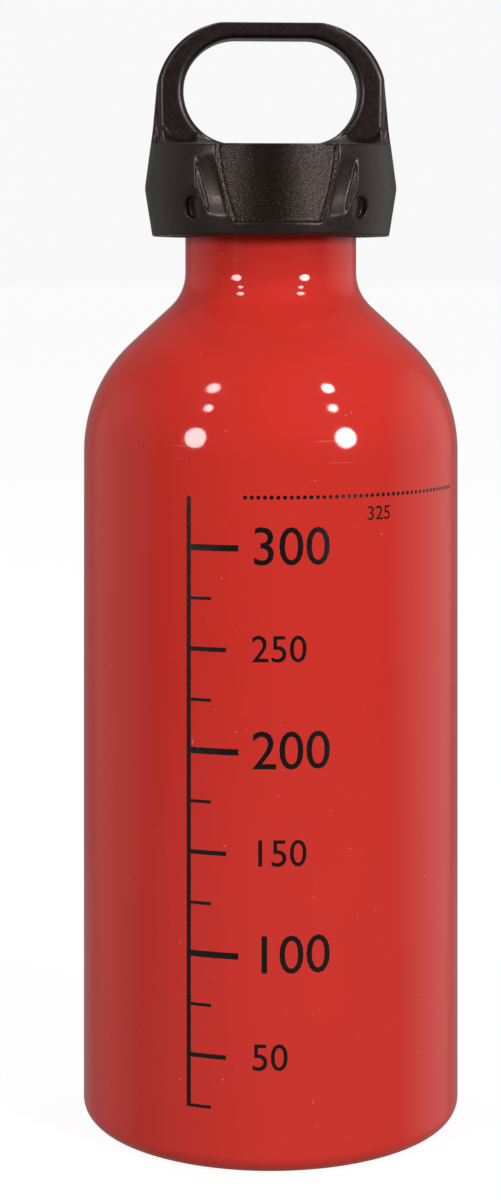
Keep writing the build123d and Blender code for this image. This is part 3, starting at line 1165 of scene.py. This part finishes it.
def build_world():
    """Dim room, darkest in front of the object, with a pale backdrop behind what the camera sees."""
    world = bpy.data.worlds.new("studio")
    world.use_nodes = True
    tree = world.node_tree
    room = tree.nodes["Background"]
    backdrop = tree.nodes.new("ShaderNodeBackground")
    backdrop.inputs["Strength"].default_value = BACKDROP
    for shader in (room, backdrop):
        shader.inputs["Color"].default_value = (1, 1, 1, 1)
    place = tree.nodes.new("ShaderNodeTexCoord").outputs["Generated"]
    direction = tree.nodes.new("ShaderNodeSeparateXYZ")
    tree.links.new(place, direction.inputs[0])

    def ramp(value, span, results):
        node = tree.nodes.new("ShaderNodeMapRange")
        node.interpolation_type = "SMOOTHSTEP"
        for key, number in zip(("From Min", "From Max", "To Min", "To Max"), (*span, *results)):
            node.inputs[key].default_value = number
        tree.links.new(value, node.inputs["Value"])
        return node.outputs["Result"]

    def brighter(first, last):
        node = tree.nodes.new("ShaderNodeMath")
        node.operation = "MAXIMUM"
        for index, value in enumerate((first, last)):
            tree.links.new(value, node.inputs[index])
        return node.outputs[0]

    def towards(azimuth):
        node = tree.nodes.new("ShaderNodeVectorMath")
        node.operation = "DOT_PRODUCT"
        tree.links.new(place, node.inputs[0])
        node.inputs[1].default_value = on_axis(radians(azimuth), 1, 0)
        return node.outputs["Value"]

    ahead, up = direction.outputs["Y"], direction.outputs["Z"]
    around = brighter(ramp(ahead, ROOM_SPAN, ROOM_LIGHT), ramp(up, GROUND_SPAN, (0.0, GROUND_LIGHT)))
    for azimuth, radiance in SIDE_LIGHTS:
        around = brighter(around, ramp(towards(azimuth), SIDE_SPAN, (0.0, radiance)))
    around = brighter(around, ramp(ahead, BACKDROP_SPAN, (0.0, BACKDROP_SHEEN)))
    tree.links.new(around, room.inputs["Strength"])
    seen = tree.nodes.new("ShaderNodeLightPath").outputs["Is Camera Ray"]
    mix = tree.nodes.new("ShaderNodeMixShader")
    for index, output in enumerate((seen, room.outputs[0], backdrop.outputs[0])):
        tree.links.new(output, mix.inputs[index])
    tree.links.new(mix.outputs[0], tree.nodes["World Output"].inputs["Surface"])
    bpy.context.scene.world = world
    bpy.context.scene.view_settings.view_transform = "Standard"


def build_camera():
    """Level camera, square to the bottle's axis, at the photograph's distance and height."""
    camera = bpy.data.cameras.new("camera")
    camera.sensor_width = SENSOR_W
    camera.lens = SENSOR_W * PIXELS_PER_MM * CAMERA_DISTANCE / MM / IMAGE_H
    camera.shift_x = (IMAGE_W / 2 - AXIS_COLUMN) / IMAGE_H
    camera.shift_y = (HORIZON_ROW - IMAGE_H / 2) / IMAGE_H
    obj = placed("camera", camera)
    x, y = CAMERA_DISTANCE * sin(CAMERA_AZIMUTH), -CAMERA_DISTANCE * cos(CAMERA_AZIMUTH)
    obj.location = (x, y, CAMERA_HEIGHT)
    obj.rotation_euler = (pi / 2, 0, CAMERA_AZIMUTH)
    bpy.context.scene.camera = obj


build_bottle(red_coat(), bare_aluminium())
build_print(black_ink())
build_plug(
    moulded_plastic("plug_plastic", PLUG_BLACK, PLUG_TINT, grain=0.35, roughness=(0.45, 0.58), relief=0.01)
)
build_seal(nitrile())
build_spring(spring_wire())
build_cap(
    moulded_plastic("satin_black", CAP_BLACK, CAP_TINT, grain=0.4, roughness=(0.32, 0.42), relief=0.008),
    moulded_plastic("grained_black", CAP_BLACK, PANEL_TINT, grain=0.15, roughness=(0.2, 0.3), relief=0.06),
)
build_floor(pale_floor())
build_lights()
build_world()
build_camera()
